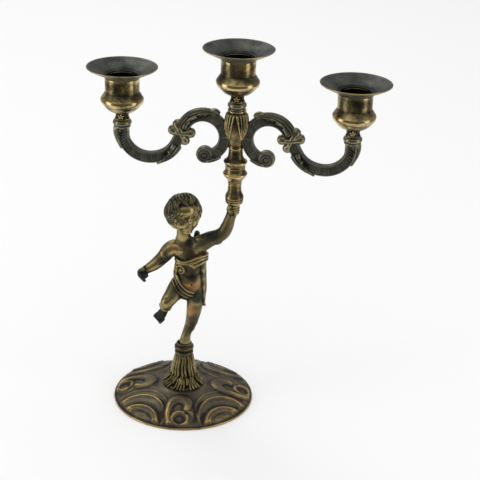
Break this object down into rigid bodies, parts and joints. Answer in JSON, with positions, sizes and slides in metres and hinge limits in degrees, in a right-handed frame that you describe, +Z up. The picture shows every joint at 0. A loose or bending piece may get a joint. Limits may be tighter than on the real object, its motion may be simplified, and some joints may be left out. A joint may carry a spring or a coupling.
{
  "type": "table candelabra",
  "caption": "Cast brass table candelabra: a standing child figure on a domed foot holds up a stem with scroll arms, candle cups and drip pans.",
  "frame": {"origin": "on the table plane, straight below the axis of the stem and its middle cup", "axes": "+X towards the arm on the figure's left, +Y towards the figure's back, +Z up along the stem"},
  "size_m": [0.2166, 0.107, 0.28],
  "materials": {
    "base_brass": "antique brass, brown in the hollows, rubbed gold on the ridges",
    "figure_brass": "antique brass with an olive patina, nearly black in the folds",
    "stem_brass": "polished brass darkened by age",
    "arm_brass": "cast brass with a near-black olive patina",
    "cup_brass": "polished brass, brown-gold",
    "pan_brass": "brass dulled to a dark grey-green on top, gold at the edge",
    "steel": "plain turned steel"
  },
  "bodies": {
    "stand": {"base_dome": "base_brass", "tassel_skirt": "base_brass", "skirt_collar": "base_brass", "base_washer": "steel", "base_nut": "steel", "tie_rod": "steel", "putto_body": "figure_brass", "putto_head": "figure_brass", "putto_left_arm": "figure_brass", "putto_right_arm": "figure_brass"},
    "branch": {"grip_bulb": "stem_brass", "baluster": "stem_brass", "leaf_urn": "stem_brass", "stem_rod": "steel", "scroll_arm_left": "arm_brass", "scroll_arm_right": "arm_brass", "arm_pin_left": "steel", "arm_pin_right": "steel", "cup_stud_left": "steel", "cup_stud_right": "steel", "cup_ring_left": "stem_brass", "cup_ring_center": "stem_brass", "cup_ring_right": "stem_brass"},
    "cup_left": {"candle_cup_left": "cup_brass", "drip_pan_left": "pan_brass"},
    "cup_center": {"candle_cup_center": "cup_brass", "drip_pan_center": "pan_brass"},
    "cup_right": {"candle_cup_right": "cup_brass", "drip_pan_right": "pan_brass"}
  },
  "joints": [
    {"name": "branch_turn", "type": "hinge", "parent": "stand", "child": "branch", "pos_m": [0, 0, 0.16], "axis": [0, 0, 1], "continuous": true},
    {"name": "cup_turn_left", "type": "hinge", "parent": "branch", "child": "cup_left", "pos_m": [-0.0828, 0, 0.2224], "axis": [0, 0, 1], "continuous": true},
    {"name": "cup_turn_center", "type": "hinge", "parent": "branch", "child": "cup_center", "pos_m": [0, 0, 0.2414], "axis": [0, 0, 1], "continuous": true},
    {"name": "cup_turn_right", "type": "hinge", "parent": "branch", "child": "cup_right", "pos_m": [0.0828, 0, 0.2224], "axis": [0, 0, 1], "continuous": true}
  ]
}
